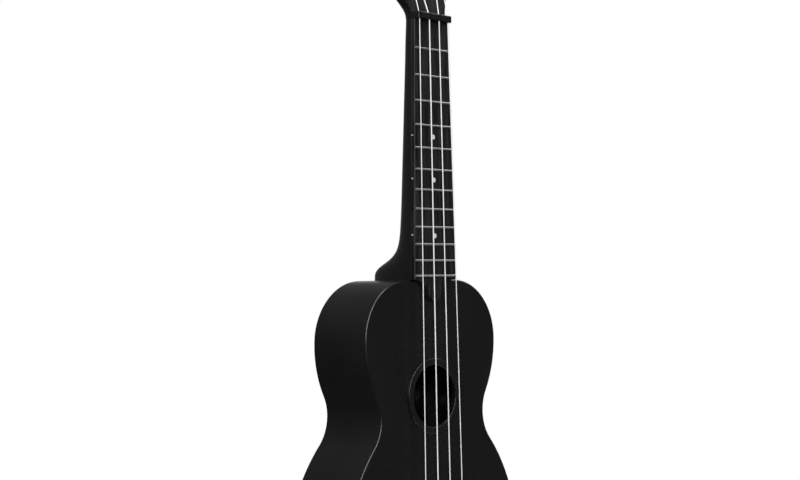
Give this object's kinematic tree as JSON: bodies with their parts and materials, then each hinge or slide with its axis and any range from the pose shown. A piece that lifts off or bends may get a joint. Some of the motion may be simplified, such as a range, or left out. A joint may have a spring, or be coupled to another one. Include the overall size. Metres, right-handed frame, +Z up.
{
  "type": "soprano ukulele",
  "caption": "Satin black soprano ukulele: hollow waisted body with a ringed sound hole, fretted neck, slotted bridge and geared tuning machines.",
  "frame": {"origin": "middle of the nut's lower front edge, on the face of the fretboard, where a neck hanger's yoke holds the instrument", "axes": "+Z up the neck towards the headstock, -Y out of the soundboard towards the strings, +X to the right seen from the front"},
  "size_m": [0.1714, 0.0685, 0.5284],
  "materials": {
    "black_lacquer": "satin black lacquer over laminated wood",
    "black_moulding": "moulded satin black",
    "blackened_wood": "open-grained wood stained black",
    "inner_wood": "softwood and maple, stained dark and left bare",
    "fret_wire": "polished nickel silver",
    "white_inlay": "polished white plastic",
    "nylon": "clear white nylon",
    "nickel_plate": "nickel-plated steel",
    "gear_brass": "cut brass",
    "screw_steel": "plated steel",
    "button_plastic": "moulded black plastic"
  },
  "bodies": {
    "instrument": {"soundboard": "black_lacquer", "rib_left": "black_lacquer", "rib_right": "black_lacquer", "back": "black_lacquer", "neck": "black_lacquer", "sound_hole_ring": "black_moulding", "nut": "black_moulding", "saddle": "black_moulding", "fretboard": "blackened_wood", "bridge": "blackened_wood", "head_block": "inner_wood", "tail_block": "inner_wood", "lining_top": "inner_wood", "lining_back": "inner_wood", "top_brace_upper": "inner_wood", "top_brace_lower": "inner_wood", "bridge_patch": "inner_wood", "back_brace_upper": "inner_wood", "back_brace_lower": "inner_wood", "neck_dowel": "inner_wood", "frets": "fret_wire", "position_dots": "white_inlay", "side_dots": "white_inlay", "string_g": "nylon", "string_c": "nylon", "string_e": "nylon", "string_a": "nylon", "tuner_g_plate": "nickel_plate", "tuner_g_bushing": "nickel_plate", "tuner_c_plate": "nickel_plate", "tuner_c_bushing": "nickel_plate", "tuner_e_plate": "nickel_plate", "tuner_e_bushing": "nickel_plate", "tuner_a_plate": "nickel_plate", "tuner_a_bushing": "nickel_plate", "plate_screws": "screw_steel"},
    "g_drive": {"tuner_g_worm": "nickel_plate", "tuner_g_button": "button_plastic"},
    "g_spindle": {"tuner_g_gear": "gear_brass", "tuner_g_gear_screw": "screw_steel", "tuner_g_post": "nickel_plate"},
    "c_drive": {"tuner_c_worm": "nickel_plate", "tuner_c_button": "button_plastic"},
    "c_spindle": {"tuner_c_gear": "gear_brass", "tuner_c_gear_screw": "screw_steel", "tuner_c_post": "nickel_plate"},
    "e_drive": {"tuner_e_worm": "nickel_plate", "tuner_e_button": "button_plastic"},
    "e_spindle": {"tuner_e_gear": "gear_brass", "tuner_e_gear_screw": "screw_steel", "tuner_e_post": "nickel_plate"},
    "a_drive": {"tuner_a_worm": "nickel_plate", "tuner_a_button": "button_plastic"},
    "a_spindle": {"tuner_a_gear": "gear_brass", "tuner_a_gear_screw": "screw_steel", "tuner_a_post": "nickel_plate"}
  },
  "joints": [
    {"name": "g_button_turn", "type": "hinge", "parent": "instrument", "child": "g_drive", "pos_m": [-0.0186, 0.02467, 0.03326], "axis": [-1, 0, 0], "continuous": true},
    {"name": "g_post_turn", "type": "hinge", "parent": "instrument", "child": "g_spindle", "pos_m": [-0.0186, 0.02213, 0.04078], "axis": [0, 0.9659, -0.2588], "continuous": true},
    {"name": "c_button_turn", "type": "hinge", "parent": "instrument", "child": "c_drive", "pos_m": [-0.0196, 0.03502, 0.0719], "axis": [-1, 0, 0], "continuous": true},
    {"name": "c_post_turn", "type": "hinge", "parent": "instrument", "child": "c_spindle", "pos_m": [-0.0196, 0.03248, 0.07942], "axis": [0, 0.9659, -0.2588], "continuous": true},
    {"name": "e_button_turn", "type": "hinge", "parent": "instrument", "child": "e_drive", "pos_m": [0.0196, 0.03502, 0.0719], "axis": [1, 0, 0], "continuous": true},
    {"name": "e_post_turn", "type": "hinge", "parent": "instrument", "child": "e_spindle", "pos_m": [0.0196, 0.03248, 0.07942], "axis": [0, 0.9659, -0.2588], "continuous": true},
    {"name": "a_button_turn", "type": "hinge", "parent": "instrument", "child": "a_drive", "pos_m": [0.0186, 0.02467, 0.03326], "axis": [1, 0, 0], "continuous": true},
    {"name": "a_post_turn", "type": "hinge", "parent": "instrument", "child": "a_spindle", "pos_m": [0.0186, 0.02213, 0.04078], "axis": [0, 0.9659, -0.2588], "continuous": true}
  ],
  "couplings": [
    {"joint": "g_post_turn", "follows": "g_button_turn", "ratio": 0.071429},
    {"joint": "c_post_turn", "follows": "c_button_turn", "ratio": 0.071429},
    {"joint": "e_post_turn", "follows": "e_button_turn", "ratio": 0.071429},
    {"joint": "a_post_turn", "follows": "a_button_turn", "ratio": 0.071429}
  ]
}
